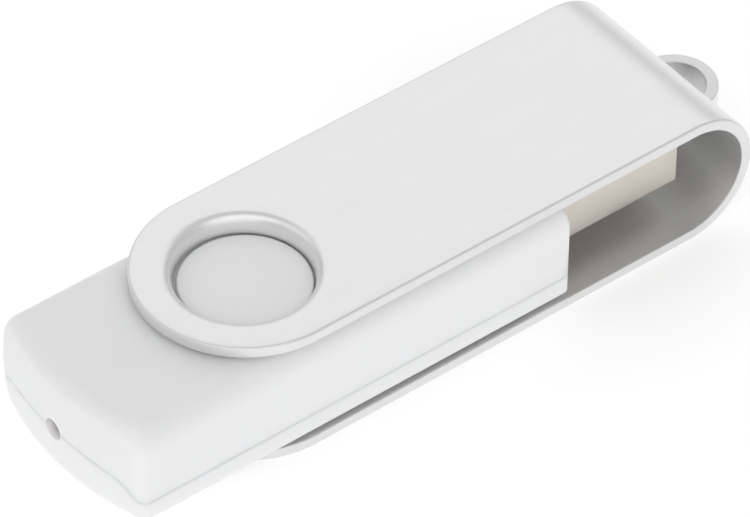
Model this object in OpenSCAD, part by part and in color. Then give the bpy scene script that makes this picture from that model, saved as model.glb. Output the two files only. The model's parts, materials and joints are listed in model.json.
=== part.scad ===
// Swivel-cover USB flash drive.
// Every shape is drawn about the pivot: X = 0, Y = 0 on the pivot axis and Z = 0 half way between
// the cover's two arms. from_pivot() then moves it so that the origin is under the middle of the
// drive, on the surface it lies on. +X points from the body to the closed end of the cover.

/* [Swivel cover] */
// Width of the sheet-metal cover
cover_w = 18.5; // [18.5:0.1:19.5]
// Height over both arms of the cover
cover_h = 12.4; // [12.4:0.1:12.8]
// Thickness of the cover's sheet
sheet = 1.0; // [0.9:0.05:1.0]
// Pivot axis to the outer face of the closed end
cover_reach = 44.8; // [44:0.1:48]
// Radius of the pivot hole in each arm
pivot_hole_r = 5.62; // [5.6:0.01:5.65]
// Radius at which the pressed-in dish round each hole starts
dish_r = 6.6; // [6.4:0.1:6.8]
// How far the dish is pressed in
dish_depth = 0.9; // [0.7:0.05:0.95]

/* [Key loop] */
// Outer radius of the strap that is lanced out of the closed end
loop_r = 3.6; // [3:0.1:4.5]
// Height of the strap
loop_h = 2.6; // [2:0.1:3.4]
// Distance from the closed end's outer face back to the loop's centre
loop_set_in = 0.4; // [0.2:0.1:0.6]

/* [Body shells] */
// Width of the plastic body
body_w = 18.3; // [18.3:0.1:18.5]
// Thickness of the plastic body
body_t = 9.5; // [9.4:0.05:9.6]
// Pivot axis to the body's rear end
body_rear = 18.9; // [18.4:0.1:22]
// Pivot axis to the body's front face
body_front = 25.8; // [25.4:0.1:26.2]
// Plan radius of the curved rear end
rear_r = 26; // [22:0.5:32]
// Radius along the top long edges
top_edge_r = 2.5; // [1.5:0.1:2.6]
// Radius along the bottom long edges
bottom_edge_r = 0.4; // [0.3:0.1:0.9]
// Radius of the rear end's upper and lower edges
rear_edge_r = 0.9; // [0.6:0.1:1.4]
// Radius of the upright corners
corner_r = 1.0; // [0.6:0.1:2]
// Height of the parting line along the sides, from mid-height
side_parting_z = -2.8; // [-2.9:0.1:-2]
// Radius of the status light's hole
led_hole_r = 0.95; // [0.7:0.05:1]

/* [Pivot bosses] */
// Radius of the round boss that each arm turns on
boss_r = 5.55; // [5.5:0.01:5.58]
// Height of each boss above the body's face, or below it if negative
boss_rise = -0.1; // [-0.15:0.05:0]
// Depth of the round recess that clears the dish
recess_depth = 0.7; // [0.6:0.05:0.75]
// Radius of that recess
recess_r = 7.0; // [6.9:0.1:7.4]

/* [Plug] */
// Width of a USB type A plug shell
plug_w = 12.0; // [12:0.01:12]
// Height of a USB type A plug shell
plug_h = 4.5; // [4.5:0.01:4.5]
// Sheet thickness of the plug shell
plug_wall = 0.3; // [0.3:0.01:0.32]
// Length of the plug shell, most of it outside the body
plug_len = 18.75; // [18.5:0.05:19]
// How far the plug and the circuit board sit below mid-height
plug_drop = 0.4; // [0:0.05:0.4]
// Pivot axis to the plug's mouth
plug_tip = 39.65; // [39.4:0.05:39.8]

/* [Circuit board] */
// Length of the circuit board
board_len = 36.8; // [36.2:0.1:37]
// Width of the circuit board
board_w = 13.2; // [12.8:0.1:13.4]
// Thickness of the circuit board
board_t = 0.8; // [0.6:0.1:1]

/* [Hidden] */
$fn = 64;

// Overshoot for cuts, and a length longer than the drive is wide or high
eps = 0.01;
big = 60;

// Cover
half_h = cover_h / 2;
bend_x = cover_reach - half_h;
loop_x = cover_reach - loop_set_in;
loop_end = loop_x + loop_r;
dish_wall = 0.85;
rim_z = half_h - dish_depth - sheet;

// Place of the pivot in the part's own frame
pivot_x = (body_rear - loop_end) / 2;

// Body
half_t = body_t / 2;
half_w = body_w / 2;
shell_wall = 1.3;
cavity_z = half_t - shell_wall;
cavity_y = half_w - shell_wall;
rear_cx = rear_r - body_rear;
front_wall = 1.5;
front_edge_r = 0.6;
parting_r = (half_w * half_w + side_parting_z * side_parting_z) / (-2 * side_parting_z);
boss_top = half_t + boss_rise;
boss_edge_r = 0.28;

// Locating pins between the shells
pin_r = 0.5;
pin_clear = 0.05;
pin_y = 7.2;
pin_x = [-11, 15];
socket_r = 1.1;
seat_w = 1.2;

// Plug and its contacts
plug_rear = plug_tip - plug_len;
plug_corner_r = 0.6;
window_l = 1.95;
window_w = 2.5;
window_from_tip = 5.16;
window_y = 2.25;
contact_t = 0.25;
contact_w = 1.0;
power_y = 3.5;
data_y = 1.0;
tongue_top = -0.05;
tail_len = 2.6;
tab_len = 2.4;
tab_h = 1.6;

// Board, from the middle of the plug
board_top = -contact_t;
board_bottom = board_top - board_t;
board_front = plug_rear - 0.2;
board_rear = board_front - board_len;
seat_z = board_bottom - plug_drop;
clamp_z = board_top - plug_drop;

// Status light, lying on its side at the board's rear edge with its lens in the hole
led_x = board_rear + 0.35;
led_z = -0.18;
led_l = 0.8;
led_w = 1.6;
led_h = 1.2;
lens_r = led_hole_r - 0.23;
lens_dome_r = 1.5;
lens_set_in = 0.5;

// Colours
satin_aluminium = [0.84, 0.84, 0.85];
white_plastic = [0.93, 0.93, 0.94];
nickel = [0.72, 0.70, 0.66];
gold = [0.86, 0.68, 0.32];
solder = [0.75, 0.75, 0.77];

module from_pivot() translate([pivot_x, 0, half_h]) children();

// The same, for what is drawn from the middle of the plug
module from_plug() from_pivot() translate([0, 0, -plug_drop]) children();

// A flat drawing in X and Z made solid across Y
module across(width) rotate([90, 0, 0]) linear_extrude(width, center = true) children();

// A flat drawing in Y and Z made solid along X, from x0 to x1
module along(x0, x1)
    translate([x0, 0, 0]) rotate([90, 0, 90]) linear_extrude(x1 - x0) children();

// The same thing on the upper and lower sides
module both_sides() {
    children();
    mirror([0, 0, 1]) children();
}

module rounded_rect(w, h, r) {
    square([w - 2 * r, h], center = true);
    square([w, h - 2 * r], center = true);
    for (x = [-1, 1], y = [-1, 1])
        translate([x * (w / 2 - r), y * (h / 2 - r)]) circle(r);
}

// ---------- swivel cover ----------

// Side view of the bent strip
module u_profile(inset) {
    translate([-big, -half_h + inset]) square([big + bend_x, cover_h - 2 * inset]);
    translate([bend_x, 0]) circle(half_h - inset, $fn = 128);
}

// Plan view of the strip: a full round about the pivot, then straight sides
module cover_plan() {
    circle(cover_w / 2, $fn = 128);
    translate([0, -cover_w / 2]) square([big, cover_w]);
}

// Everything that the pressed dish adds under one arm
module dish_bump()
    translate([0, 0, rim_z])
        cylinder(h = dish_depth, r1 = pivot_hole_r + 0.6, r2 = dish_r + 0.15);

// The dished pivot hole of one arm
module dished_hole() {
    translate([0, 0, rim_z - eps]) cylinder(h = big, r = pivot_hole_r);
    translate([0, 0, half_h - dish_depth])
        cylinder(h = dish_depth, r1 = dish_r - dish_wall, r2 = dish_r);
    translate([0, 0, half_h - eps]) cylinder(h = 1, r = dish_r);
}

module key_strap()
    intersection() {
        translate([loop_x, 0, -loop_h / 2]) cylinder(h = loop_h, r = loop_r);
        translate([cover_reach - sheet, -big / 2, -big / 2]) cube(big);
    }

// Opening inside the strap, with the slot that lancing leaves in the closed end
module key_opening()
    translate([0, 0, -loop_h / 2]) {
        translate([loop_x, 0, 0]) cylinder(h = loop_h, r = loop_r - sheet);
        translate([bend_x, sheet - loop_r, 0]) cube([loop_x - bend_x, 2 * (loop_r - sheet), loop_h]);
    }

module swivel_cover() color(satin_aluminium) from_pivot()
    difference() {
        union() {
            intersection() {
                across(cover_w) difference() {
                    u_profile(0);
                    u_profile(sheet);
                }
                linear_extrude(cover_h + 1, center = true) cover_plan();
            }
            both_sides() dish_bump();
            key_strap();
        }
        both_sides() dished_hole();
        key_opening();
    }

// ---------- body shells ----------

// Cross section of the body: wide radii above, small ones below
module body_section() {
    translate([-half_w, bottom_edge_r - half_t])
        square([body_w, body_t - bottom_edge_r - top_edge_r]);
    translate([-half_w + top_edge_r, -half_t + bottom_edge_r])
        square([body_w - 2 * top_edge_r, body_t - bottom_edge_r]);
    translate([-half_w + bottom_edge_r, -half_t])
        square([body_w - 2 * bottom_edge_r, 2 * bottom_edge_r]);
    for (side = [-1, 1]) {
        translate([side * (half_w - top_edge_r), half_t - top_edge_r]) circle(top_edge_r);
        translate([side * (half_w - bottom_edge_r), bottom_edge_r - half_t]) circle(bottom_edge_r);
    }
}

// Half of the upright section through the curved rear end, from its own centre outwards
module rear_half_section() {
    translate([0, -half_t]) square([rear_r - rear_edge_r, body_t]);
    translate([0, rear_edge_r - half_t]) square([rear_r, body_t - 2 * rear_edge_r]);
    for (side = [-1, 1])
        translate([rear_r - rear_edge_r, side * (half_t - rear_edge_r)]) circle(rear_edge_r);
}

module rear_form() {
    translate([rear_cx, 0, 0]) rotate_extrude($fn = 128) rear_half_section();
    translate([rear_cx, -half_w, -half_t]) cube([big, body_w, body_t]);
}

// Side view with the front edges rounded
module front_profile() {
    translate([-big, -half_t]) square([big + body_front - front_edge_r, body_t]);
    translate([-big, front_edge_r - half_t])
        square([big + body_front, body_t - 2 * front_edge_r]);
    for (side = [-1, 1])
        translate([body_front - front_edge_r, side * (half_t - front_edge_r)]) circle(front_edge_r);
}

// What a rounded upright corner takes off, where the curved rear end meets a side
module rear_corner_cut() {
    cy = half_w - corner_r;
    cx = rear_cx - sqrt(pow(rear_r - corner_r, 2) - cy * cy);
    reach = (rear_r + 1) / (rear_r - corner_r);
    difference() {
        polygon([[cx, cy], [cx, half_w + 1], [rear_cx - rear_r, half_w + 1],
                 [rear_cx + (cx - rear_cx) * reach, cy * reach]]);
        translate([cx, cy]) circle(corner_r);
    }
}

// The same at the flat front face
module front_corner_cut()
    difference() {
        translate([body_front - front_edge_r, half_w - front_edge_r]) square(front_edge_r + 1);
        translate([body_front - front_edge_r, half_w - front_edge_r]) circle(front_edge_r);
    }

module body_form()
    difference() {
        intersection() {
            along(-body_rear - 1, body_front + 1) body_section();
            rear_form();
            across(big) front_profile();
        }
        for (side = [0, 1])
            mirror([0, side, 0]) linear_extrude(big, center = true) {
                rear_corner_cut();
                front_corner_cut();
            }
    }

module cavity()
    intersection() {
        translate([-big / 2, -cavity_y, -cavity_z])
            cube([big / 2 + body_front - front_wall, 2 * cavity_y, 2 * cavity_z]);
        union() {
            translate([rear_cx, 0, -half_t]) cylinder(h = body_t, r = rear_r - shell_wall, $fn = 128);
            translate([rear_cx, -half_w, -half_t]) cube([big, body_w, body_t]);
        }
    }

// The space that the lower shell takes. Its edge is low along the sides, rises in an arc across
// the rear end to the middle of the light's hole, and is at mid-height across the front wall.
module lower_space() {
    translate([-big / 2, -big / 2, side_parting_z - big]) cube([2 * big, big, big]);
    intersection() {
        along(-body_rear - 1, -body_rear + 3.4) translate([0, -parting_r]) circle(parting_r, $fn = 128);
        translate([-big, -half_w, -half_t]) cube([big, body_w, body_t]);
    }
    translate([body_front - front_wall, -cavity_y, -half_t]) cube([front_wall + 1, 2 * cavity_y, half_t]);
}

// Holes through both shells: the light's hole and the plug's opening
module shell_openings() {
    translate([-body_rear - 1, 0, 0]) rotate([0, 90, 0]) cylinder(h = 4, r = led_hole_r);
    translate([0, 0, -plug_drop])
        along(body_front - front_wall - 1, body_front + 1)
            rounded_rect(plug_w + 0.1, plug_h + 0.1, plug_corner_r);
}

module pivot_recess()
    translate([0, 0, half_t - recess_depth]) cylinder(h = 1, r = recess_r, $fn = 96);

module pivot_boss()
    rotate_extrude($fn = 96) {
        translate([0, cavity_z]) square([boss_r, boss_top - boss_edge_r - cavity_z]);
        translate([0, cavity_z]) square([boss_r - boss_edge_r, boss_top - cavity_z]);
        translate([boss_r - boss_edge_r, boss_top - boss_edge_r])
            intersection() {
                circle(boss_edge_r);
                square(boss_edge_r);
            }
    }

module at_pins() for (x = pin_x, side = [-1, 1]) translate([x, side * pin_y, 0]) children();

module upper_shell() color(white_plastic) from_pivot()
    difference() {
        union() {
            difference() {
                body_form();
                lower_space();
                cavity();
                pivot_recess();
            }
            pivot_boss();
            // sockets for the locating pins, which also hold the board down
            at_pins() translate([0, 0, clamp_z + 0.05]) cylinder(h = cavity_z - clamp_z, r = socket_r);
        }
        shell_openings();
        at_pins() translate([0, 0, clamp_z - eps]) cylinder(h = 2.6, r = pin_r + pin_clear);
    }

module lower_shell() color(white_plastic) from_pivot()
    difference() {
        union() {
            difference() {
                intersection() {
                    body_form();
                    lower_space();
                }
                cavity();
                mirror([0, 0, 1]) pivot_recess();
            }
            mirror([0, 0, 1]) pivot_boss();
            at_pins() {
                // seat under the board's edge
                translate([-1, -seat_w / 2, -cavity_z - eps]) cube([2, seat_w, cavity_z + seat_z + eps]);
                translate([0, 0, -cavity_z]) cylinder(h = cavity_z + 1.6, r = pin_r);
            }
            // rib behind the board
            translate([board_rear - 0.55, -3, -cavity_z - eps])
                cube([0.5, 6, cavity_z + seat_z + 0.4]);
        }
        shell_openings();
    }

// ---------- plug ----------

module shell_windows()
    for (y = [-1, 1])
        translate([plug_tip - window_from_tip - window_l, y * window_y - window_w / 2, -plug_h])
            cube([window_l, window_w, 2 * plug_h]);

module plug_shell() color(nickel) from_plug() {
    difference() {
        along(plug_rear, plug_tip) difference() {
            rounded_rect(plug_w, plug_h, plug_corner_r);
            rounded_rect(plug_w - 2 * plug_wall, plug_h - 2 * plug_wall, plug_corner_r - plug_wall);
        }
        shell_windows();
        // seam where the rolled sheet meets
        translate([plug_rear - 1, -0.04, -plug_h]) cube([plug_len + 2, 0.08, plug_h]);
    }
    // tabs that are soldered beside the board
    for (side = [-1, 1])
        translate([plug_rear - tab_len, side * (plug_w - plug_wall) / 2 - plug_wall / 2, board_bottom - 0.3])
            cube([tab_len + eps, plug_wall, tab_h]);
}

module contact_slot(y, front, clear)
    translate([plug_rear - 4, y - contact_w / 2 - clear, -contact_t - clear])
        cube([front - plug_rear + 4 + clear, contact_w + 2 * clear, contact_t + clear + 0.02]);

power_front = plug_tip - 1.4;
data_front = plug_tip - 2.4;

module plug_tongue() color([0.95, 0.95, 0.93]) from_plug()
    difference() {
        union() {
            // tongue, with its front edge bevelled
            across(plug_w - 2 * plug_wall - 0.1)
                polygon([[plug_rear + 0.4, -plug_h / 2 + plug_wall + 0.02],
                         [plug_tip - 0.7, -plug_h / 2 + plug_wall + 0.02],
                         [plug_tip - 0.5, -plug_h / 2 + plug_wall + 0.3],
                         [plug_tip - 0.5, tongue_top - 0.35],
                         [plug_tip - 0.8, tongue_top],
                         [plug_rear + 0.4, tongue_top]]);
            // block that closes the shell's rear end
            translate([plug_rear + 0.4, -plug_w / 2 + plug_wall + 0.05, -plug_h / 2 + plug_wall + 0.02])
                cube([6, plug_w - 2 * plug_wall - 0.1, plug_h - 2 * plug_wall - 0.04]);
        }
        for (y = [-power_y, power_y]) contact_slot(y, power_front, 0.01);
        for (y = [-data_y, data_y]) contact_slot(y, data_front, 0.01);
        // the shell's rounded corners
        for (y = [-1, 1], z = [-1, 1])
            translate([0, y * (plug_w / 2 - plug_wall), z * (plug_h / 2 - plug_wall)]) rotate([45, 0, 0])
                translate([plug_rear, -0.17, -0.17]) cube([plug_len, 0.34, 0.34]);
    }

// One strip contact from the plug's tongue to its solder pad on the board
module contact(y, front) color(gold) from_plug()
    difference() {
        translate([plug_rear - tail_len, y - contact_w / 2, -contact_t])
            cube([front - plug_rear + tail_len, contact_w, contact_t]);
        // bevelled nose
        translate([front, y - contact_w, 0]) rotate([0, 45, 0])
            translate([-0.1, 0, -0.1]) cube([0.2, 2 * contact_w, 0.2]);
    }

module vbus_contact() contact(-power_y, power_front);
module data_minus_contact() contact(-data_y, data_front);
module data_plus_contact() contact(data_y, data_front);
module ground_contact() contact(power_y, power_front);

// ---------- circuit board and its components ----------

module circuit_board() color([0.10, 0.36, 0.22]) from_plug()
    difference() {
        translate([board_rear, -board_w / 2, board_bottom]) cube([board_len, board_w, board_t]);
        // half holes that clear the locating pins
        at_pins() translate([0, 0, board_bottom - 1]) cylinder(h = 3, r = pin_r + 0.25);
        // notches beside the plug shell's tabs
        for (side = [-1, 1])
            translate([plug_rear - tab_len - 0.1, side * (plug_w / 2 + 0.1) - 0.55, board_bottom - 1])
                cube([tab_len + 1, 1.1, 3]);
        // two tooling holes
        for (side = [-1, 1])
            translate([board_rear + 1.2, side * 5.2, board_bottom - 1]) cylinder(h = 3, r = 0.5, $fn = 32);
    }

// A moulded chip package with bevelled sides and a pin 1 dimple
module package(l, w, h, dimple)
    difference() {
        intersection() {
            rotate([90, 0, 90]) linear_extrude(l, center = true)
                polygon([[-w / 2 + 0.1, 0], [w / 2 - 0.1, 0], [w / 2, h / 2], [w / 2 - 0.1, h],
                         [0.1 - w / 2, h], [-w / 2, h / 2]]);
            rotate([90, 0, 0]) linear_extrude(w, center = true)
                polygon([[-l / 2 + 0.1, 0], [l / 2 - 0.1, 0], [l / 2, h / 2], [l / 2 - 0.1, h],
                         [0.1 - l / 2, h], [-l / 2, h / 2]]);
        }
        translate([-l / 2 + 1.1, -w / 2 + 1.1, h - dimple]) cylinder(h = 1, r = 0.4, $fn = 32);
    }

// A gull-wing lead: it leaves the package at x = 0 and height rise, and lands on z = 0
module gull_wing(width, reach, rise, t)
    across(width)
        polygon([[0, rise], [reach * 0.45, rise], [reach * 0.62, t], [reach, t], [reach, 0],
                 [reach * 0.5, 0], [reach * 0.36, rise - t], [0, rise - t]]);

// Rows of leads on two opposite sides of a package of length l
module lead_rows(l, count, pitch, width, reach, rise, t)
    for (side = [0, 1], i = [0 : count - 1])
        rotate(180 * side) translate([l / 2, (i - (count - 1) / 2) * pitch, 0])
            gull_wing(width, reach, rise, t);

memory_x = -3.0;
memory_l = 18.4;
memory_w = 12.0;
controller_x = 12.6;
controller_w = 7.0;
stand_off = 0.1;

module on_board_top(x, y) from_plug() translate([x, y, board_top]) children();

// Under the board, with the component's own +Z pointing down
module under_board(x, y) from_plug() translate([x, y, board_bottom]) rotate([180, 0, 0]) children();

module memory_chip() color([0.13, 0.13, 0.14])
    on_board_top(memory_x, 0) translate([0, 0, stand_off]) package(memory_l, memory_w, 1.0, 0.08);

module memory_chip_leads() color(solder)
    on_board_top(memory_x, 0) lead_rows(memory_l, 24, 0.5, 0.22, 0.8, 0.66, 0.13);

module controller_chip() color([0.15, 0.15, 0.16])
    on_board_top(controller_x, 0) translate([0, 0, stand_off])
        package(controller_w, controller_w, 1.4, 0.1);

module controller_leads() color(solder)
    on_board_top(controller_x, 0)
        for (turn = [0, 90]) rotate(turn) lead_rows(controller_w, 12, 0.5, 0.22, 1.0, 0.86, 0.13);

module crystal_base() color([0.20, 0.19, 0.18])
    under_board(11, 2.5) linear_extrude(0.4) rounded_rect(5.0, 3.2, 0.25);

module crystal_lid() color([0.78, 0.76, 0.70])
    under_board(11, 2.5) translate([0, 0, 0.4]) linear_extrude(0.7) rounded_rect(4.6, 2.8, 0.4);

module voltage_regulator() color([0.14, 0.14, 0.15])
    under_board(3.5, -2.5) translate([0, 0, stand_off]) package(1.4, 2.9, 1.0, 0.04);

// Two leads on one side of the regulator and one on the other
module regulator_leads() color(solder)
    under_board(3.5, -2.5) {
        for (y = [-0.95, 0.95]) translate([0.7, y, 0]) gull_wing(0.4, 0.55, 0.66, 0.12);
        rotate(180) translate([0.7, 0, 0]) gull_wing(0.4, 0.55, 0.66, 0.12);
    }

module status_led_base() color([0.93, 0.92, 0.86])
    on_board_top(led_x, 0) translate([-led_l / 2, -led_w / 2, 0]) cube([led_l, led_w, led_h]);

// A domed lens that reaches from the base into the hole in the rear wall
module status_led_lens() color([0.90, 0.80, 0.78])
    from_pivot() translate([led_x - led_l / 2, 0, led_z]) rotate([0, -90, 0]) {
        lens_l = led_x - led_l / 2 + body_rear - lens_set_in;
        intersection() {
            cylinder(h = lens_l, r = lens_r);
            translate([0, 0, lens_l - lens_dome_r]) sphere(lens_dome_r);
        }
    }

// Small two-ended components: [x, y, side], where side is 1 on top of the board and -1 under it
capacitor_places = [[10.0, 5.5, 1], [10.0, -5.5, 1], [16.4, 0, -1], [7.0, -2.6, -1],
                    [0.4, -2.6, -1], [7.4, 4.6, -1], [-3.5, 3.0, -1], [-9.0, -3.0, -1]];
resistor_places = [[-14.3, 3.2, 1], [14.6, -3.2, -1], [14.6, -4.6, -1], [0.5, 3.6, -1],
                   [-6.0, 0.8, -1], [-9.0, 3.2, -1]];
// Length, width and height of each kind, and the length of one terminal
capacitor_size = [1.6, 0.8, 0.75];
resistor_size = [1.6, 0.8, 0.45];
terminal_l = 0.3;

module chips(places, size)
    from_plug() for (p = places)
        translate([p[0], p[1], p[2] > 0 ? board_top : board_bottom - size[2]])
            translate([terminal_l - size[0] / 2, -size[1] / 2, 0])
                cube([size[0] - 2 * terminal_l, size[1], size[2]]);

module chip_ends(places, size)
    from_plug() for (p = places, end = [0, 1])
        translate([p[0], p[1], p[2] > 0 ? board_top : board_bottom - size[2]])
            translate([end * (size[0] - terminal_l) - size[0] / 2, -size[1] / 2, 0])
                cube([terminal_l, size[1], size[2]]);

module capacitor_bodies() color([0.74, 0.62, 0.46]) chips(capacitor_places, capacitor_size);
module capacitor_terminals() color(solder) chip_ends(capacitor_places, capacitor_size);
module resistor_bodies() color([0.12, 0.12, 0.13]) chips(resistor_places, resistor_size);
module resistor_terminals() color(solder) chip_ends(resistor_places, resistor_size);

// Solder wedges behind the contacts' tails and inside the shell's tabs
module plug_solder() color(solder) from_plug() {
    for (y = [-power_y, -data_y, data_y, power_y])
        translate([0, y, 0]) across(contact_w)
            polygon([[plug_rear - tail_len - 0.45, board_top], [plug_rear - tail_len, board_top],
                     [plug_rear - tail_len, board_top + 0.22]]);
    for (side = [-1, 1])
        along(plug_rear - tab_len + 0.3, plug_rear - 0.4)
            polygon([[side * (plug_w / 2 - plug_wall), board_top],
                     [side * (plug_w / 2 - plug_wall), board_top + 0.5],
                     [side * (plug_w / 2 - plug_wall - 0.9), board_top]]);
}

swivel_cover();
upper_shell();
lower_shell();
plug_shell();
plug_tongue();
vbus_contact();
data_minus_contact();
data_plus_contact();
ground_contact();
circuit_board();
memory_chip();
memory_chip_leads();
controller_chip();
controller_leads();
crystal_base();
crystal_lid();
voltage_regulator();
regulator_leads();
status_led_base();
status_led_lens();
capacitor_bodies();
capacitor_terminals();
resistor_bodies();
resistor_terminals();
plug_solder();
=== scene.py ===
import bpy
import bmesh
import json
import math
from mathutils import Matrix, Vector


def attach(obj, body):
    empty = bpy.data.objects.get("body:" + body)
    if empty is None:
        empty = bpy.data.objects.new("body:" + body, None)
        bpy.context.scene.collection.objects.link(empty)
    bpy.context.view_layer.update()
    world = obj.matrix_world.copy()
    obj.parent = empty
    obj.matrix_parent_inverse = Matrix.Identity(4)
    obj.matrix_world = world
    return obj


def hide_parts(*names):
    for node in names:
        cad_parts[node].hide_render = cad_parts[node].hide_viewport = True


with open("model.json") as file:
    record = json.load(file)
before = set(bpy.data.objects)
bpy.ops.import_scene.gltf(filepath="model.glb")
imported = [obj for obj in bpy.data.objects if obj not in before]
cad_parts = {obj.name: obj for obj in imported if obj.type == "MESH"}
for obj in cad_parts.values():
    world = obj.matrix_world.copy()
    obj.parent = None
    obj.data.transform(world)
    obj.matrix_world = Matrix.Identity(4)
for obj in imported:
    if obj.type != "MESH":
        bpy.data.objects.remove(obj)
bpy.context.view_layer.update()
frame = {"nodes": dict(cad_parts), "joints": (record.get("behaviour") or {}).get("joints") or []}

MM = 0.001
PIVOT = Vector(frame["joints"][0]["pos_m"])

# ---------------------------------------------------------------- sizes, in mm, about the pivot
# The cover
HALF_H = 6.2
SHEET = 1.0
HALF_W = 9.25
BEND_X = 38.6
APEX = BEND_X + HALF_H * math.pi / 2
EDGE_OUT = 0.20
EDGE_IN = 0.07
POLAR_X = 9.6
# The dish pressed in round each pivot hole. Its rim and its lip are a little off centre along X
LIP_R = 5.64
LIP_DROP = 1.7
LIP_SHIFT = -0.1
LIP_EDGE = 0.13
LIP_EDGE_IN = 0.05
SHOULDER_R = 1.0
DISH_SLOPE = math.radians(80)
DISH_WALL = 0.85
DISH_SHIFT = -0.3
# The key loop lanced out of the closed end
LOOP_X = 44.4
LOOP_R = 3.6
LOOP_HALF = 1.3
ROOT_R = 0.35
SLIT = 0.16
SLIT_EXTRA = 0.35
SLIT_EDGE = 0.12
# The body
HALF_T = 4.75
BODY_Y = 9.15
BODY_FRONT = 25.85
TOP_R = 2.5
BOTTOM_R = 0.4
REAR_X = -18.9
REAR_R = 26
REAR_RZ = 23.5
# Where the rear parting line turns down to the one along the sides, and the lines' heights
PARTING_TURN_Y = 7.2
SIDE_PARTING = -2.8
PARTING_SAG = 0.0145
# The square of grid round the pivot that the recess is set into
BLOCK_X = 7.8
# The hollow inside, which narrows towards its ceiling
SHELL_T = 1.1
CEILING = 3.3
CEILING_MID_X = 3.6
CEILING_SHARE_X = 0.92
CEILING_SHARE_Y = 0.85
PART_GAP = 0.01
PART_EDGE = 0.025
LED_R = 0.95
LED_Z = -0.35
OPEN_Y = 6.05
OPEN_Z = 2.3
OPEN_CORNER = 0.6
RECESS_R = 7.0
RECESS_Z = 4.05
RECESS_EDGE = 0.15
BOSS_R = 5.42
BOSS_Z = 4.6
BOSS_EDGE = 0.16
BOSS_DOME = 0.4
DRAFT = 0.02
FOOT_R = 0.1
# The plug
PLUG_DROP = 0.4
PLUG_HALF_W = 6.0
PLUG_HALF_H = 2.25
PLUG_WALL = 0.3
PLUG_CORNER = 0.45
PLUG_TIP = 39.65
PLUG_REAR = 20.9
PLUG_EDGE = 0.09
PLUG_EDGE_IN = 0.05
SEAM_HALF = 0.04
WINDOW_SETBACK = 5.16
WINDOW_LEN = 1.95
WINDOW_WIDTH = 2.5
WINDOW_CORNER = 0.3
WINDOW_MARGIN = 0.3


def metres(p):
    return (PIVOT.x + p[0] * MM, PIVOT.y + p[1] * MM, PIVOT.z + p[2] * MM)


def spaced(a, b, n):
    return [a + (b - a) * i / n for i in range(n + 1)]


def smooth(t):
    t = min(1, max(0, t))
    return t * t * (3 - 2 * t)


# ---------------------------------------------------------------- mesh helpers
class Builder:
    """Collects points in mm about the pivot, and faces between them."""

    def __init__(self):
        self.points = []
        self.faces = []
        self.kinds = []

    def point(self, p):
        self.points.append(tuple(p))
        return len(self.points) - 1

    def row(self, ps):
        return [self.point(p) for p in ps]

    def face(self, corners, kind=0):
        ring = []
        for c in corners:
            if not ring or ring[-1] != c:
                ring.append(c)
        if ring[0] == ring[-1]:
            ring.pop()
        if len(ring) > 2:
            self.faces.append(tuple(ring))
            self.kinds.append(kind)

    def strip(self, a, b, closed=False, kind=0, skip=()):
        n = len(a)
        for i in range(n if closed else n - 1):
            if i not in skip:
                j = (i + 1) % n
                self.face((a[i], a[j], b[j], b[i]), kind)

    def strips(self, rows, closed=False, kind=0):
        for a, b in zip(rows, rows[1:]):
            self.strip(a, b, closed, kind)

    def fan(self, ring, centre, kind=0):
        for i in range(len(ring)):
            self.face((ring[i], ring[(i + 1) % len(ring)], centre), kind)

    def mirror_z(self):
        """Adds the same thing below the middle plane."""
        n = len(self.points)
        self.points += [(x, y, -z) for x, y, z in self.points]
        self.faces += [tuple(n + i for i in reversed(f)) for f in self.faces]
        self.kinds += self.kinds

    def build(self, name, body, nodes, materials, sharp=35):
        mesh = bpy.data.meshes.new(name)
        mesh.from_pydata([metres(p) for p in self.points], [], self.faces)
        for m in materials:
            mesh.materials.append(m)
        mesh.polygons.foreach_set("material_index", self.kinds)
        bm = bmesh.new()
        bm.from_mesh(mesh)
        bmesh.ops.remove_doubles(bm, verts=bm.verts, dist=2e-7)
        bmesh.ops.recalc_face_normals(bm, faces=bm.faces)
        bm.to_mesh(mesh)
        bm.free()
        for p in mesh.polygons:
            p.use_smooth = True
        mesh.set_sharp_from_angle(angle=math.radians(sharp))
        obj = bpy.data.objects.new(name, mesh)
        bpy.context.scene.collection.objects.link(obj)
        weights = obj.modifiers.new("flat_faces_first", "WEIGHTED_NORMAL")
        weights.keep_sharp = True
        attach(obj, body)
        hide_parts(*nodes)
        return obj


def edge_profile(outer, inner, thick, steps=4):
    """How far out and how deep each row of a rounded sheet edge lies, between its two faces."""
    rows = []
    for k in range(1, steps + 1):
        a = math.pi / 2 * k / steps
        rows.append((outer * math.sin(a), outer * (1 - math.cos(a))))
    for k in range(steps, 0, -1):
        a = math.pi / 2 * k / steps
        rows.append((inner * math.sin(a) + outer - inner, thick - inner * (1 - math.cos(a))))
    return rows


# ---------------------------------------------------------------- swivel cover
def bent(run, y, depth):
    """A point of the cover's strip: run along it, y across it and depth into the sheet."""
    if run <= BEND_X:
        return (run, y, HALF_H - depth)
    turn = (run - BEND_X) / HALF_H
    r = HALF_H - depth
    return (BEND_X + r * math.sin(turn), y, r * math.cos(turn))


ROOT_Y = math.sqrt((LOOP_R + ROOT_R) ** 2 - (BEND_X + HALF_H + ROOT_R - LOOP_X) ** 2)
ROOT_TURN = math.atan2(ROOT_Y, BEND_X + HALF_H + ROOT_R - LOOP_X)
ROOT_LEN = (ROOT_R + SHEET / 2) * ROOT_TURN
HALF_LOOP_LEN = (LOOP_R - SHEET / 2) * ROOT_TURN


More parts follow.
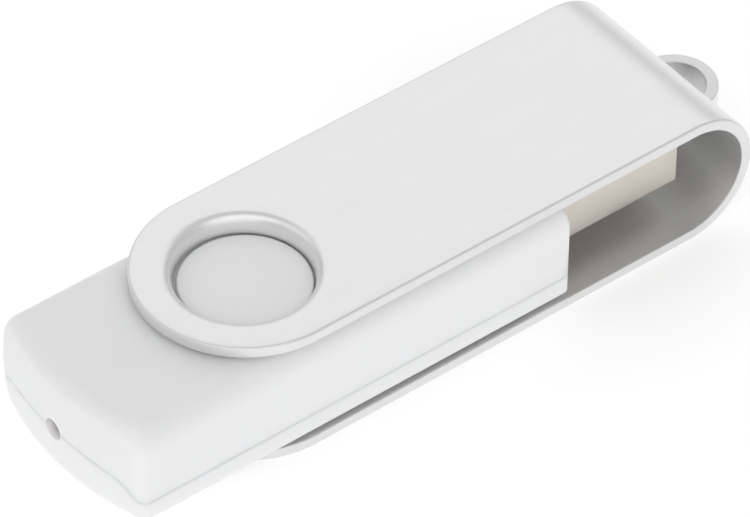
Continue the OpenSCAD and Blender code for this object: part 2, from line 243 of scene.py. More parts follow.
def strap(y, height, depth):
    """A point of the lanced strap. y is where it was across the sheet before it was pushed out."""
    run = (ROOT_Y - abs(y)) / ROOT_Y * (ROOT_LEN + HALF_LOOP_LEN)
    side = 1 if y >= 0 else -1
    if run < ROOT_LEN:
        a = run / ROOT_LEN * ROOT_TURN
        x = BEND_X + HALF_H + ROOT_R - math.cos(a) * (ROOT_R + depth)
        across = ROOT_Y - math.sin(a) * (ROOT_R + depth)
        free = smooth(run / ROOT_LEN)
    else:
        a = ROOT_TURN * (1 - (run - ROOT_LEN) / HALF_LOOP_LEN)
        x = LOOP_X + math.cos(a) * (LOOP_R - depth)
        across = math.sin(a) * (LOOP_R - depth)
        free = 1
    tilt = math.asin(height / HALF_H)
    x -= (1 - free) * (HALF_H - depth) * (1 - math.cos(tilt))
    z = height * (1 - (1 - free) * depth / HALF_H)
    return (x, side * across, z)


def closed_end(y, height, depth, on_strap):
    if on_strap and abs(y) < ROOT_Y:
        return strap(y, height, depth)
    return bent(APEX - HALF_H * math.asin(height / HALF_H), y, depth)


def cover_columns():
    slit_y = ROOT_Y + SLIT_EXTRA
    side = HALF_W - EDGE_OUT
    half = spaced(0, ROOT_Y, 30) + spaced(ROOT_Y, slit_y, 3)[1:]
    half += spaced(slit_y, side, 14)[1:]
    return [-y for y in reversed(half[1:])] + half, slit_y


def build_cover(metal, cut, inside):
    b = Builder()
    columns, slit_y = cover_columns()
    strap_rows = [0, 0.45, 0.9, LOOP_HALF - SLIT_EDGE]
    slit_top = LOOP_HALF + SLIT + SLIT_EDGE
    turn_top = math.asin(slit_top / HALF_H)
    bend_runs = [APEX - HALF_H * t for t in spaced(turn_top, math.pi / 2, 34)]
    flat_runs = spaced(BEND_X, POLAR_X, 14)[1:]
    outer, inner = [], []
    for height in strap_rows:
        outer.append(b.row(closed_end(y, height, 0, True) for y in columns))
        inner.append(b.row(closed_end(y, height, SHEET, True) for y in columns))
    for run in bend_runs + flat_runs:
        outer.append(b.row(bent(run, y, 0) for y in columns))
        inner.append(b.row(bent(run, y, SHEET) for y in columns))
    first = next(i for i, y in enumerate(columns) if abs(y + slit_y) < 1e-6)
    last = len(columns) - 1 - first
    for k in range(len(outer) - 1):
        hole = range(first, last) if k == len(strap_rows) - 1 else ()
        b.strip(outer[k], outer[k + 1], skip=hole)
        b.strip(inner[k + 1], inner[k], kind=2, skip=hole)

    # the slit beside the strap
    under = len(strap_rows) - 1
    slit_cols = list(range(first, last + 1))
    loop = [(i, under) for i in slit_cols] + [(i, under + 1) for i in reversed(slit_cols)]
    previous = [outer[r][i] for i, r in loop]
    start_inner = [inner[r][i] for i, r in loop]
    for out, deep in edge_profile(SLIT_EDGE, EDGE_IN, SHEET):
        ring = []
        for i, r in loop:
            y = columns[i]
            if i in (first, last):
                y -= math.copysign(out, y)
            on_strap = r == under
            height = (strap_rows[-1] + out) if on_strap else (slit_top - out)
            ring.append(b.point(closed_end(y, height, deep, on_strap)))
        b.strip(previous, ring, closed=True, kind=1)
        previous = ring
    b.strip(previous, start_inner, closed=True, kind=1)

    # round the pivot: rings from the outline in to the lip of the dish
    side = HALF_W - EDGE_OUT
    outline = [(POLAR_X, y, 0, 0) for y in columns]
    outline += [(x, side, 0, 1) for x in spaced(POLAR_X, 0, 22)[1:]]
    for a in spaced(math.pi / 2, 3 * math.pi / 2, 88)[1:]:
        outline.append((side * math.cos(a), side * math.sin(a), math.cos(a), math.sin(a)))
    outline += [(x, -side, 0, -1) for x in spaced(0, POLAR_X, 22)[1:-1]]
    angles = [math.atan2(p[1], p[0]) for p in outline]

    drop_arc = SHOULDER_R * (1 - math.cos(DISH_SLOPE))
    slope_len = (LIP_DROP - drop_arc) / math.sin(DISH_SLOPE)
    dish_start = LIP_R + SHOULDER_R * math.sin(DISH_SLOPE) + slope_len * math.cos(DISH_SLOPE)
    n_front = len(columns)
    rings_out = [outer[-1] + b.row((p[0], p[1], HALF_H) for p in outline[n_front:])]
    rings_in = [inner[-1] + b.row((p[0], p[1], HALF_H - SHEET) for p in outline[n_front:])]

    def flat_ring(t, z):
        """A ring on the flat of the arm, t of the way from the dish out to the outline."""
        ring = []
        for p, a in zip(outline, angles):
            x = (dish_start * math.cos(a) + DISH_SHIFT) * (1 - t) + p[0] * t
            ring.append((x, dish_start * math.sin(a) * (1 - t) + p[1] * t, z))
        return b.row(ring)

    def dish_ring(r, z):
        """A ring of the dish. The further in, the less it is off centre."""
        shift = LIP_SHIFT + (DISH_SHIFT - LIP_SHIFT) * (r - LIP_R) / (dish_start - LIP_R)
        return b.row((shift + r * math.cos(a), r * math.sin(a), HALF_H + z) for a in angles)

    for t in (0.75, 0.5, 0.25, 0.08, 0.0):
        rings_out.append(flat_ring(t, HALF_H))
        rings_in.append(flat_ring(t, HALF_H - SHEET))
    for k in range(1, 9):
        a = DISH_SLOPE * k / 8
        wall = SHEET + (DISH_WALL - SHEET) * k / 8
        r = dish_start - SHOULDER_R * math.sin(a)
        z = -SHOULDER_R * (1 - math.cos(a))
        rings_out.append(dish_ring(r, z))
        rings_in.append(dish_ring(r + wall * math.sin(a), z - wall * math.cos(a)))
    along_r, along_z = math.cos(DISH_SLOPE), math.sin(DISH_SLOPE)
    for t in (0.5, 1.0):
        run = t * (slope_len - LIP_EDGE)
        rr, zz = r - run * along_r, z - run * along_z
        rings_out.append(dish_ring(rr, zz))
        rings_in.append(dish_ring(rr + DISH_WALL * along_z, zz - DISH_WALL * along_r))
    b.strips(rings_out, closed=True)
    b.strips(rings_in, closed=True, kind=2)
    lip = [rings_out[-1]]
    for out, deep in edge_profile(LIP_EDGE, LIP_EDGE_IN, DISH_WALL):
        lip.append(dish_ring(rr - out * along_r + deep * along_z, zz - out * along_z - deep * along_r))
    b.strips(lip + [rings_in[-1]], closed=True, kind=1)

    # the cut edge all round the outline
    n_rows = len(outer)
    path = [("row", k, -1) for k in range(n_rows)]
    path += [("out", i, 0) for i in range(n_front, len(outline))]
    path += [("row", k, 0) for k in reversed(range(n_rows))]
    runs = bend_runs + flat_runs

    def rim_point(step, out, deep):
        kind, i, col = step
        if kind == "out":
            p = outline[i]
            return (p[0] + p[2] * out, p[1] + p[3] * out, HALF_H - deep)
        y = columns[col] + (out if col else -out)
        if i < len(strap_rows):
            return closed_end(y, strap_rows[i], deep, False)
        return bent(runs[i - len(strap_rows)], y, deep)

    def face_row(rows, rings):
        return [rings[0][s[1]] if s[0] == "out" else rows[s[1]][s[2]] for s in path]

    rim = [face_row(outer, rings_out)]
    for out, deep in edge_profile(EDGE_OUT, EDGE_IN, SHEET):
        rim.append(b.row(rim_point(s, out, deep) for s in path))
    rim.append(face_row(inner, rings_in))
    b.strips(rim, kind=1)
    b.mirror_z()
    # material 1 (the cut edges) and material 2 (the inner faces) carry painted shade in their colour
    return b.build("swivel_cover_sheet", "cover", ["swivel_cover"], [metal, cut, inside])


# ---------------------------------------------------------------- body shells
def rear_x(y, z):
    """The rear end bulges a little, both across and from top to bottom."""
    return (REAR_X + REAR_R - math.sqrt(REAR_R ** 2 - y * y)
            + REAR_RZ - math.sqrt(REAR_RZ ** 2 - z * z))


def rear_parting(y):
    """Height of the line between the shells across the rear end: highest at the light's hole."""
    out = max(0, abs(y) - LED_R)
    low = LED_Z - PARTING_SAG * (BODY_Y - LED_R) ** 2
    turned_down = smooth((abs(y) - PARTING_TURN_Y) / (BODY_Y - PARTING_TURN_Y))
    return LED_Z - PARTING_SAG * out ** 2 + (SIDE_PARTING - low) * turned_down


def shell_columns():
    """Columns of a shell's grid, from its -Y edge over its top to its +Y edge: (part, place, side)."""
    half = [("wall", k / 5, -1) for k in range(6)]
    half += [("arc", math.pi / 2 * k / 12, -1) for k in range(1, 13)]
    cols = half + [("top", u, 1) for u in spaced(-1, 1, 28)[1:-1]]
    return cols + [(part, place, 1) for part, place, side in reversed(half)]


def section_point(col, half_w, height, radius, first):
    """Where a column crosses a rounded section, as (y, z)."""
    part, place, side = col
    if part == "wall":
        return (side * half_w, first + (height - radius - first) * place)
    if part == "arc":
        return (side * (half_w - radius + radius * math.cos(place)),
                height - radius + radius * math.sin(place))
    return ((half_w - radius) * place, height)


def rim_frames(grid, path):
    """At each point of a grid's border: the point, the normal, and the way into the grid."""
    last_r, last_c = len(grid) - 1, len(grid[0]) - 1
    frames = []
    for i, (r, c) in enumerate(path):
        p = Vector(grid[r][c])
        along = Vector(grid[min(r + 1, last_r)][c]) - Vector(grid[max(r - 1, 0)][c])
        across = Vector(grid[r][min(c + 1, last_c)]) - Vector(grid[r][max(c - 1, 0)])
        normal = across.cross(along).normalized()
        before = (p - Vector(grid[path[i - 1][0]][path[i - 1][1]])).normalized()
        ahead = path[(i + 1) % len(path)]
        after = (Vector(grid[ahead[0]][ahead[1]]) - p).normalized()
        m1, m2 = before.cross(normal).normalized(), after.cross(normal).normalized()
        frames.append((p, normal, (m1 + m2) / max(0.6, 1 + m1.dot(m2))))
    return frames


def build_shell(name, upper, plastic):
    """One shell of the body, worked out as the upper one. The lower one is turned over when written."""
    b = Builder()
    sign = 1 if upper else -1
    cols = shell_columns()
    # radii of the long edges, and of those round the front and rear faces at the sides and at the top
    edge_r, rear_top = (TOP_R, 1.1) if upper else (BOTTOM_R, 0.5)
    front_side, front_top, rear_side = 0.35, 0.8, 0.8

    def blend(col, at_side, at_top):
        share = {"wall": 0, "top": 1}.get(col[0])
        return at_side + (at_top - at_side) * (smooth(col[1] / (math.pi / 2)) if share is None else share)

    def section(col, inset, first):
        return section_point(col, BODY_Y - inset, HALF_T - inset, max(edge_r - inset, 0.1), first)

    def edge(z):
        return sign * z + PART_GAP / 2

    def top_z(y):
        past = max(0, abs(y) - BODY_Y + edge_r)
        return HALF_T - edge_r + math.sqrt(edge_r ** 2 - past ** 2)

    grid = []
    # the front face, out from the opening for the plug, and its rounded edge
    opening = [section_point(c, OPEN_Y, OPEN_Z - sign * PLUG_DROP, OPEN_CORNER, edge(0)) for c in cols]
    rim = [section(c, blend(c, front_side, front_top), edge(0)) for c in cols]
    for s in (0, 0.1, 0.35, 0.7, 1):
        grid.append([(BODY_FRONT, p[0] + (q[0] - p[0]) * s, p[1] + (q[1] - p[1]) * s)
                     for p, q in zip(opening, rim)])
    for k in range(5, -1, -1):
        t = math.pi / 2 * k / 6
        row = []
        for c in cols:
            r = blend(c, front_side, front_top)
            first = edge(SIDE_PARTING * (1 - smooth(k / 6)))
            row.append((BODY_FRONT - r * (1 - math.sin(t)), *section(c, r * (1 - math.cos(t)), first)))
        grid.append(row)
    # along the sides, with closer rows beside the recess
    start = grid[-1]
    for t in spaced(0, 1, 10)[1:]:
        grid.append([])
        for c, p in zip(cols, start):
            x = p[0] + (BLOCK_X - p[0]) * t
            grid[-1].append((x, *section(c, 0, edge(SIDE_PARTING))))
    block_first = len(grid) - 1
    for x in spaced(BLOCK_X, -BLOCK_X, 20)[1:]:
        grid.append([(x, *section(c, 0, edge(SIDE_PARTING))) for c in cols])
    block_last = len(grid) - 1
    for t in spaced(0, 1, 9)[1:]:
        grid.append([])
        for c in cols:
            r = blend(c, rear_side, rear_top)
            y, z = section(c, 0, edge(SIDE_PARTING))
            grid[-1].append((-BLOCK_X + (rear_x(y, z) + r + BLOCK_X) * t, y, z))
    # round the rear edge and in across the rear face to the light's hole
    for k in range(1, 9):
        t = math.pi / 2 * k / 8
        grid.append([])
        for c in cols:
            r = blend(c, rear_side, rear_top)
            inset = r * (1 - math.cos(t))
            y, z = section(c, inset, edge(rear_parting(BODY_Y - rear_side * (1 - math.cos(t)))))
            grid[-1].append((rear_x(y, z) + r * (1 - math.sin(t)), y, z))
    outer = [(y, z) for x, y, z in grid[-1]]
    steps = [math.hypot(q[0] - p[0], q[1] - p[1]) for p, q in zip(outer, outer[1:])]
    run = [sum(steps[:i]) / sum(steps) for i in range(len(outer))]
    for s in (0.93, 0.83, 0.72, 0.6, 0.48, 0.36, 0.25, 0.16, 0.09, 0.04, 0.012, 0):
        first_y = outer[0][0] * s - LED_R * (1 - s)
        lift = edge(rear_parting(first_y)) - (outer[0][1] * s + edge(LED_Z) * (1 - s))
        grid.append([])
        for c, (y, z), u in zip(cols, outer, run):
            y = y * s - LED_R * math.cos(math.pi * u) * (1 - s)
            z = z * s + (edge(LED_Z) + LED_R * math.sin(math.pi * u)) * (1 - s)
            if c[0] == "wall":
                z += lift * (1 - c[1])
            grid[-1].append((rear_x(y, z), y, z))

    # the border: both edges, the light's hole and the opening for the plug
    last_r, last_c = len(grid) - 1, len(cols) - 1
    path = [(r, 0) for r in range(last_r)] + [(last_r, c) for c in range(last_c)]
    path += [(r, last_c) for r in range(last_r, 0, -1)] + [(0, c) for c in range(last_c, 0, -1)]
    frames = rim_frames(grid, path)
    for (r, c), (p, normal, into) in zip(path, frames):
        grid[r][c] = tuple(p + into * PART_EDGE)
    rows = [b.row(row) for row in grid]
    c0 = next(i for i, c in enumerate(cols) if c[0] == "arc" and c[1] > math.radians(59))
    c1 = last_c - c0
    for k in range(last_r):
        b.strip(rows[k], rows[k + 1], skip=range(c0, c1) if block_first <= k < block_last else ())
    border = [[rows[r][c] for r, c in path]]
    for a in (30, 60, 90):
        a = math.radians(a)
        border.append(b.row(p + into * PART_EDGE * (1 - math.sin(a)) - normal * PART_EDGE * (1 - math.cos(a))
                            for p, normal, into in frames))
    inside = []
    for p, normal, into in frames:
        y = max(-BODY_Y + SHELL_T, min(BODY_Y - SHELL_T, p.y))
        inside.append((max(rear_x(y, p.z) + SHELL_T, min(BODY_FRONT - SHELL_T, p.x)), y, p.z))
    border.append(b.row(inside))
    border.append(b.row((x, y, max(z, OPEN_Z + PLUG_DROP + 0.1)) for x, y, z in inside))
    ceiling = []
    for x, y, z in inside:
        ceiling.append((CEILING_MID_X + (x - CEILING_MID_X) * CEILING_SHARE_X, y * CEILING_SHARE_Y, CEILING))
    border.append(b.row(ceiling))
    b.strips(border, closed=True)
    b.fan(border[-1], b.point((CEILING_MID_X, 0, CEILING)))

    # the recess and the domed boss that the cover's arm turns on
    ring = [(k, c0) for k in range(block_first, block_last)] + [(block_last, c) for c in range(c0, c1)]
    ring += [(k, c1) for k in range(block_last, block_first, -1)]
    ring += [(block_first, c) for c in range(c1, c0, -1)]
    corners = [grid[r][c] for r, c in ring]
    angles = [math.atan2(y, x) for x, y, z in corners]
    wide = RECESS_R + RECESS_EDGE

    def circle(r, height, below_top=False):
        pts = []
        for a in angles:
            x, y = r * math.cos(a), r * math.sin(a)
            pts.append((x, y, top_z(y) - height if below_top else height))
        return b.row(pts)

    turned = [[rows[r][c] for r, c in ring]]
    for t in (0.6, 0.25):
        pts = []
        for (x, y, z), a in zip(corners, angles):
            px, py = x * t + wide * math.cos(a) * (1 - t), y * t + wide * math.sin(a) * (1 - t)
            pts.append((px, py, top_z(py)))
        turned.append(b.row(pts))
    for k in range(4, -1, -1):
        a = math.pi / 2 * k / 4
        r = RECESS_R + RECESS_EDGE * (1 - math.cos(a))
        turned.append(circle(r, RECESS_EDGE * (1 - math.sin(a)), True))
    turned.append(circle(RECESS_R - DRAFT, RECESS_Z + FOOT_R))
    turned.append(circle(RECESS_R - DRAFT - FOOT_R, RECESS_Z))
    turned.append(circle(BOSS_R + DRAFT + FOOT_R, RECESS_Z))
    turned.append(circle(BOSS_R + DRAFT, RECESS_Z + FOOT_R))
    flat_r = BOSS_R - BOSS_EDGE
    z_edge = BOSS_Z + BOSS_DOME * (1 - (flat_r / BOSS_R) ** 2)
    for k in range(4, 0, -1):
        a = math.pi / 2 * k / 4
        turned.append(circle(flat_r + BOSS_EDGE * math.sin(a), z_edge - BOSS_EDGE * (1 - math.cos(a))))
    for t in (1.0, 0.94, 0.85, 0.7, 0.5, 0.25):
        r = flat_r * t
        turned.append(circle(r, BOSS_Z + BOSS_DOME * (1 - (r / BOSS_R) ** 2)))
    b.strips(turned, closed=True)
    b.fan(turned[-1], b.point((0, 0, BOSS_Z + BOSS_DOME)))
    b.points = [(x, y, sign * z) for x, y, z in b.points]
    return b.build(name, "drive", ["upper_shell" if upper else "lower_shell"], [plastic])


# ---------------------------------------------------------------- plug shell
def plug_perimeter():
    """Half of the plug's section, from the seam in the middle of the underside round the -Y side to
    the middle of the top: (y, z, ny, nz)."""
    flat = PLUG_HALF_W - PLUG_CORNER
    tall = PLUG_HALF_H - PLUG_CORNER
    pts = []
    ys = [SEAM_HALF + PLUG_EDGE, 0.6]
    ys += spaced(1.0, 3.5, 10)
    ys += [4.2, flat]
    for y in ys:
        pts.append((-y, -PLUG_HALF_H, 0, -1))
    for k in range(1, 7):
        a = math.pi / 2 * k / 6
        ny, nz = -math.sin(a), -math.cos(a)
        pts.append((-flat + PLUG_CORNER * ny, -tall + PLUG_CORNER * nz, ny, nz))
    for z in (-0.8, 0, 0.8, tall):
        pts.append((-PLUG_HALF_W, z, -1, 0))
    for k in range(1, 7):
        a = math.pi / 2 * k / 6
        ny, nz = -math.cos(a), math.sin(a)
        pts.append((-flat + PLUG_CORNER * ny, tall + PLUG_CORNER * nz, ny, nz))
    for y in reversed(ys[:-1]):
        pts.append((-y, PLUG_HALF_H, 0, 1))
    pts[-1] = (-0.4, PLUG_HALF_H, 0, 1)
    pts.append((0, PLUG_HALF_H, 0, 1))
    other = [(-y, z, -ny, nz) for y, z, ny, nz in pts[:-1]]
    return pts + other[::-1]


def window_outline(u, v, grow):
    """A point of a window's rounded outline, about its middle, in the direction of a point (u, v) of
    the square of grid that was left out for it."""
    half_l, half_w = WINDOW_LEN / 2, WINDOW_WIDTH / 2
    x, y = u * half_l, v * half_w
    cx, cy = half_l - WINDOW_CORNER, half_w - WINDOW_CORNER
    if abs(x) > cx and abs(y) > cy:
        a = math.atan2(abs(y) - cy, abs(x) - cx)
        r = WINDOW_CORNER - grow
        return (math.copysign(cx + r * math.cos(a), x), math.copysign(cy + r * math.sin(a), y))
    if abs(u) >= abs(v):
        return (x - math.copysign(grow, x), y)
    return (x, y - math.copysign(grow, y))


def build_plug(metal):
    b = Builder()
    perimeter = plug_perimeter()
    window_x0, window_x1 = PLUG_TIP - WINDOW_SETBACK - WINDOW_LEN, PLUG_TIP - WINDOW_SETBACK
    xs = spaced(PLUG_REAR + PLUG_EDGE, window_x0 - WINDOW_MARGIN, 6)
    wx0 = len(xs) - 1
    xs += spaced(window_x0 - WINDOW_MARGIN, window_x1 + WINDOW_MARGIN, 8)[1:]
    wx1 = len(xs) - 1
    xs += spaced(window_x1 + WINDOW_MARGIN, PLUG_TIP - PLUG_EDGE, 5)[1:]

    def at(x, j, out, depth, side_shift=0.0):
        y, z, ny, nz = perimeter[j]
        return (x + out, y - ny * depth + side_shift, z - nz * depth - PLUG_DROP)

    outer = [b.row(at(x, j, 0, 0) for j in range(len(perimeter))) for x in xs]
    inner = [b.row(at(x, j, 0, PLUG_WALL) for j in range(len(perimeter))) for x in xs]
    spans = []
    for sy in (-1, 1):
        for sz in (-1, 1):
            js = [j for j, p in enumerate(perimeter)
                  if abs(abs(p[3]) - 1) < 1e-6 and p[3] * sz > 0 and 0.9 < p[0] * sy < 3.6]
            spans.append((min(js), max(js)))
    for k in range(len(xs) - 1):
        hole = set()
        if wx0 <= k < wx1:
            for j0, j1 in spans:
                hole.update(range(j0, j1))
        b.strip(outer[k], outer[k + 1], skip=hole)
        b.strip(inner[k], inner[k + 1], skip=hole)

    # each window: a ring of quads from the square of grid that was left out to its rounded edge
    mid_x = (window_x0 + window_x1) / 2
    half_square = WINDOW_LEN / 2 + WINDOW_MARGIN
    profile = [(-0.06, 0), (-0.03, 0.012), (0, 0.06), (0, PLUG_WALL - 0.04), (-0.03, PLUG_WALL)]
    for j0, j1 in spans:
        border = [(k, j0) for k in range(wx0, wx1)] + [(wx1, j) for j in range(j0, j1)]
        border += [(k, j1) for k in range(wx1, wx0, -1)] + [(wx0, j) for j in range(j1, j0, -1)]
        y0, y1 = perimeter[j0][0], perimeter[j1][0]
        mid_y = (y0 + y1) / 2
        z, nz = perimeter[j0][1], perimeter[j0][3]
        directions = []
        for k, j in border:
            directions.append(((xs[k] - mid_x) / half_square, (perimeter[j][0] - mid_y) / (abs(y1 - y0) / 2)))
        rows = [[outer[k][j] for k, j in border]]
        for grow, deep in profile:
            points = [window_outline(u, v, grow) for u, v in directions]
            rows.append(b.row((mid_x + px, mid_y + py, z - nz * deep - PLUG_DROP) for px, py in points))
        rows.append([inner[k][j] for k, j in border])
        b.strips(rows, closed=True)

    # cut edges: the mouth, the rear end and both sides of the seam
    path = [(0, j) for j in range(len(perimeter))]
    path += [(k, len(perimeter) - 1) for k in range(1, len(xs))]
    path += [(len(xs) - 1, j) for j in range(len(perimeter) - 2, -1, -1)]
    path += [(k, 0) for k in range(len(xs) - 2, 0, -1)]
    rim = [[outer[k][j] for k, j in path]]
    for out, deep in edge_profile(PLUG_EDGE, PLUG_EDGE_IN, PLUG_WALL, 3):
        row = []
        for k, j in path:
            dx = -out if k == 0 else (out if k == len(xs) - 1 else 0)
            dy = out if j == 0 else (-out if j == len(perimeter) - 1 else 0)
            row.append(b.point(at(xs[k], j, dx, deep, dy)))
        rim.append(row)
    rim.append([inner[k][j] for k, j in path])
    b.strips(rim, closed=True)
    return b.build("plug_sleeve", "drive", ["plug_shell"], [metal])


# ---------------------------------------------------------------- materials
class Shader:
    """A Principled material with a few node helpers. Object coordinates are in metres."""

    def __init__(self, name, color, roughness, metallic=0.0, specular=0.5):
        self.mat = bpy.data.materials.new(name)
        self.mat.use_nodes = True
        self.mat.diffuse_color = (*color, 1)
        self.tree = self.mat.node_tree
        self.nodes = self.tree.nodes
        self.bsdf = self.nodes["Principled BSDF"]
        self.color = color
        self.roughness = roughness
        self.bsdf.inputs["Base Color"].default_value = (*color, 1)
        self.bsdf.inputs["Roughness"].default_value = roughness
        self.bsdf.inputs["Metallic"].default_value = metallic
        self.bsdf.inputs["Specular IOR Level"].default_value = specular
        self.coords = self.nodes.new("ShaderNodeTexCoord")
        self.height = None

    def link(self, a, b):
        self.tree.links.new(a, b)

    def noise(self, scale, stretch=(1, 1, 1), detail=2.0, rough=0.5):
        mapping = self.nodes.new("ShaderNodeMapping")
        mapping.inputs["Scale"].default_value = stretch
        self.link(self.coords.outputs["Object"], mapping.inputs["Vector"])
        tex = self.nodes.new("ShaderNodeTexNoise")
        tex.inputs["Scale"].default_value = scale
        tex.inputs["Detail"].default_value = detail
        tex.inputs["Roughness"].default_value = rough
        self.link(mapping.outputs["Vector"], tex.inputs["Vector"])
        return tex.outputs["Fac"]

    def remap(self, value, from_low, from_high, low, high):
        node = self.nodes.new("ShaderNodeMapRange")
        node.inputs["From Min"].default_value = from_low
        node.inputs["From Max"].default_value = from_high
        node.inputs["To Min"].default_value = low
        node.inputs["To Max"].default_value = high
        self.link(value, node.inputs["Value"])
        return node.outputs["Result"]

    def math(self, kind, a, b):
        node = self.nodes.new("ShaderNodeMath")
        node.operation = kind
        for socket, value in zip(node.inputs, (a, b)):
            if isinstance(value, (int, float)):
                socket.default_value = value
            else:
                self.link(value, socket)
        return node.outputs["Value"]

    def tint(self, value, dark, light):
        """Base colour between two shades of the material's colour."""
        mix = self.nodes.new("ShaderNodeMix")
        mix.data_type = "RGBA"
        mix.inputs["A"].default_value = (*[c * dark for c in self.color], 1)
        mix.inputs["B"].default_value = (*[min(1, c * light) for c in self.color], 1)
        self.link(value, mix.inputs["Factor"])
        self.link(mix.outputs["Result"], self.bsdf.inputs["Base Color"])

    def rough_from(self, value, spread):
        self.link(self.remap(value, 0.3, 0.7, self.roughness - spread, self.roughness + spread),
                  self.bsdf.inputs["Roughness"])

    def bump(self, value, depth_mm, strength=1.0):
        node = self.nodes.new("ShaderNodeBump")
        node.inputs["Strength"].default_value = strength
        node.inputs["Distance"].default_value = depth_mm * MM
        self.link(value, node.inputs["Height"])
        if self.height is not None:
            self.link(self.height, node.inputs["Normal"])
        self.height = node.outputs["Normal"]
        self.link(self.height, self.bsdf.inputs["Normal"])


def cover_metal(name, shade, roughness, grain, metallic=0.94):
    s = Shader(name, (shade, shade, shade), roughness, metallic=metallic)
    fine = s.noise(9000, (0.22, 1, 1), 3, 0.6)
    broad = s.noise(700, (0.3, 1, 1), 2)
    s.tint(s.math("ADD", s.math("MULTIPLY", fine, 0.6), s.math("MULTIPLY", broad, 0.4)), 0.94, 1.05)
    s.rough_from(fine, 0.05)
    s.bump(fine, 0.006, grain)
    s.bump(s.noise(260, detail=1), 0.02, 0.25)
    return s.mat


def white_plastic(name):
    s = Shader(name, (0.9, 0.9, 0.905), 0.42)
    grain = s.noise(7000, detail=2)
    s.tint(s.noise(420, detail=2), 0.985, 1.012)
    s.rough_from(grain, 0.04)
    s.bump(grain, 0.004, 0.35)
    s.bump(s.noise(180, detail=1), 0.015, 0.2)
    s.bsdf.inputs["Subsurface Weight"].default_value = 0.45
    s.bsdf.inputs["Subsurface Radius"].default_value = (1.0, 0.85, 0.8)
    s.bsdf.inputs["Subsurface Scale"].default_value = 0.001
    return s.mat


def nickel(name):
    s = Shader(name, (0.74, 0.70, 0.64), 0.38, metallic=1.0)
    fine = s.noise(5200, (0.18, 1, 1), 3, 0.6)
    s.tint(s.math("ADD", s.math("MULTIPLY", fine, 0.5), s.math("MULTIPLY", s.noise(500), 0.5)), 0.93, 1.06)
    s.rough_from(fine, 0.06)
    s.bump(fine, 0.004, 0.4)
    s.bump(s.noise(300, detail=1), 0.02, 0.3)
    return s.mat


def moulded(name, color, roughness, scale=5000, depth=0.006):
    s = Shader(name, color, roughness)
    grain = s.noise(scale, detail=3)
    s.tint(s.noise(scale / 6, detail=2), 0.9, 1.08)
    s.rough_from(grain, 0.07)
    s.bump(grain, depth, 0.6)
    return s.mat


def plated(name, color, roughness, scale=4000):
    s = Shader(name, color, roughness, metallic=1.0)
    fine = s.noise(scale, (0.3, 1, 1), 3)
    s.tint(fine, 0.9, 1.08)
    s.rough_from(fine, 0.08)
    s.bump(fine, 0.004, 0.5)
    return s.mat


def solder_mask(name):
    s = Shader(name, (0.03, 0.17, 0.09), 0.3)
    tracks = s.nodes.new("ShaderNodeTexVoronoi")
    tracks.distance = "CHEBYCHEV"
    tracks.inputs["Scale"].default_value = 900
    tracks.inputs["Randomness"].default_value = 0.6
    s.link(s.coords.outputs["Object"], tracks.inputs["Vector"])
    lines = s.remap(tracks.outputs["Distance"], 0.25, 0.5, 0, 1)
    s.tint(lines, 0.8, 1.5)
    s.rough_from(s.noise(2500), 0.05)
    s.bump(lines, 0.02, 0.5)
    return s.mat


# ---------------------------------------------------------------- assemble
metal = cover_metal("satin_aluminium", 0.88, 0.38, 0.6)
# The cut edges get a rougher and darker copy of the metal. The rougher finish is the edge's own; the darker
# colour is painted shade.
cut = cover_metal("satin_cut_edge_painted_shade", 0.81, 0.48, 0.9)
# The inner faces get a darker, less metallic copy of the metal. The darker colour is painted shade for the
# inside of the fold.
inside = cover_metal("satin_inner_face_painted_shade", 0.76, 0.45, 0.8, 0.8)
plastic = white_plastic("white_satin_plastic")
plug_metal = nickel("nickel_plate")

build_cover(metal, cut, inside)
build_shell("upper_body_shell", True, plastic)
build_shell("lower_body_shell", False, plastic)
build_plug(plug_metal)

tin = plated("tin_plate", (0.72, 0.72, 0.74), 0.32)
epoxy = moulded("black_epoxy", (0.035, 0.035, 0.04), 0.5)
gold = plated("gold_plate", (0.90, 0.66, 0.26), 0.22)
CARRIED = {
    "plug_tongue": moulded("tongue_plastic", (0.80, 0.80, 0.78), 0.45),
    "vbus_contact": gold,
    "data_minus_contact": gold,
    "data_plus_contact": gold,
    "ground_contact": gold,
    "circuit_board": solder_mask("green_solder_mask"),
    "memory_chip": epoxy,
    "memory_chip_leads": tin,
    "controller_chip": epoxy,
    "controller_leads": tin,
    "crystal_base": moulded("brown_ceramic", (0.10, 0.085, 0.075), 0.55),
    "crystal_lid": plated("crystal_can", (0.75, 0.72, 0.64), 0.3),
    "voltage_regulator": epoxy,
    "regulator_leads": tin,
    "status_led_base": moulded("cream_resin", (0.80, 0.77, 0.68), 0.4),
    "status_led_lens": moulded("milky_resin", (0.82, 0.70, 0.68), 0.3),
    "capacitor_bodies": moulded("tan_ceramic", (0.45, 0.31, 0.18), 0.5),
    "capacitor_terminals": tin,
    "resistor_bodies": moulded("black_glaze", (0.03, 0.03, 0.035), 0.3),
    "resistor_terminals": tin,
    "plug_solder": tin,
}
BEVEL_MM = {"plug_tongue": 0.06, "vbus_contact": 0.04, "data_minus_contact": 0.04,
            "data_plus_contact": 0.04, "ground_contact": 0.04, "memory_chip": 0.05,
            "controller_chip": 0.05, "crystal_lid": 0.06, "status_led_lens": 0.05}
for node_name, material in CARRIED.items():
    node = frame["nodes"][node_name]
    node.data.materials.clear()
    node.data.materials.append(material)
    if node_name in BEVEL_MM:
        soft = node.modifiers.new("soft_edges", "BEVEL")
        soft.width = BEVEL_MM[node_name] * MM
        soft.segments = 2
        soft.limit_method = "ANGLE"
        soft.angle_limit = math.radians(30)

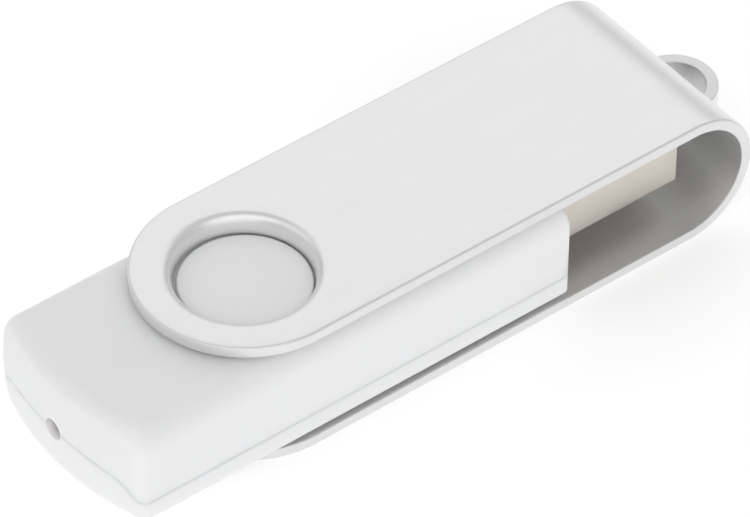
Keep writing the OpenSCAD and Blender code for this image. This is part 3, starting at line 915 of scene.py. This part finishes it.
# ---------------------------------------------------------------- floor, light, camera
floor_mesh = bpy.data.meshes.new("floor")
floor_mesh.from_pydata([(-2, -2, 0), (2, -2, 0), (2, 2, 0), (-2, 2, 0)], [], [(0, 1, 2, 3)])
floor = bpy.data.objects.new("floor", floor_mesh)
bpy.context.scene.collection.objects.link(floor)
paper = Shader("pale_paper", (0.92, 0.92, 0.92), 0.9, specular=0.1)
paper.tint(paper.noise(60), 0.995, 1.005)
paper.bsdf.inputs["Emission Color"].default_value = (1, 1, 1, 1)
paper.bsdf.inputs["Emission Strength"].default_value = 0.32
floor_mesh.materials.append(paper.mat)

world = bpy.data.worlds.new("studio")
bpy.context.scene.world = world
world.use_nodes = True
world.node_tree.nodes["Background"].inputs["Color"].default_value = (1, 1, 1, 1)
world.node_tree.nodes["Background"].inputs["Strength"].default_value = 0.54


def softbox(name, azimuth, elevation, distance, size, power):
    """A panel of light that faces the object. Azimuth 0 is towards -Y, and 90 towards +X."""
    a, e = math.radians(azimuth), math.radians(elevation)
    back = Vector((math.sin(a) * math.cos(e), -math.cos(a) * math.cos(e), math.sin(e)))
    data = bpy.data.lights.new(name, "AREA")
    data.shape = "RECTANGLE"
    data.size, data.size_y = size
    data.energy = power
    obj = bpy.data.objects.new(name, data)
    bpy.context.scene.collection.objects.link(obj)
    obj.rotation_mode = "QUATERNION"
    obj.location = back * distance + Vector((0, 0, 0.005))
    obj.rotation_quaternion = (-back).to_track_quat("-Z", "Y")


softbox("back_panel", 141, 42, 0.9, (1.6, 0.7), 1.6)
softbox("front_panel", -35, 50, 0.9, (1.4, 0.6), 1.7)
softbox("left_panel", -120, 35, 0.9, (0.8, 0.6), 0.5)
softbox("low_panel", -25, 14, 0.9, (1.2, 0.5), 0.75)

# The camera was fitted to the arms' straight edges and round holes
AZ, EL, ROLL = math.radians(-38.95), math.radians(43.45), math.radians(1.0)
AIM_X, SHIFT_RIGHT, SHIFT_UP, DISTANCE, LENS = 19.474, -5.009, -3.007, 551.1, 328.8
right = Vector((math.cos(AZ), math.sin(AZ), 0))
back = Vector((math.sin(AZ) * math.cos(EL), -math.cos(AZ) * math.cos(EL), math.sin(EL)))
up = back.cross(right)
rolled_right = right * math.cos(ROLL) + up * math.sin(ROLL)
rolled_up = up * math.cos(ROLL) - right * math.sin(ROLL)
aim = Vector(metres((AIM_X, 0, 0))) + (rolled_right * SHIFT_RIGHT + rolled_up * SHIFT_UP) * MM
camera_data = bpy.data.cameras.new("camera")
camera_data.sensor_width = 36
camera_data.lens = LENS
camera_data.clip_start = 0.01
camera_data.clip_end = 20
camera = bpy.data.objects.new("camera", camera_data)
bpy.context.scene.collection.objects.link(camera)
camera.matrix_world = Matrix((
    (rolled_right.x, rolled_up.x, back.x, 0),
    (rolled_right.y, rolled_up.y, back.y, 0),
    (rolled_right.z, rolled_up.z, back.z, 0),
    (0, 0, 0, 1),
))
camera.location = aim + back * DISTANCE * MM
bpy.context.scene.camera = camera
bpy.context.scene.view_settings.view_transform = "Standard"
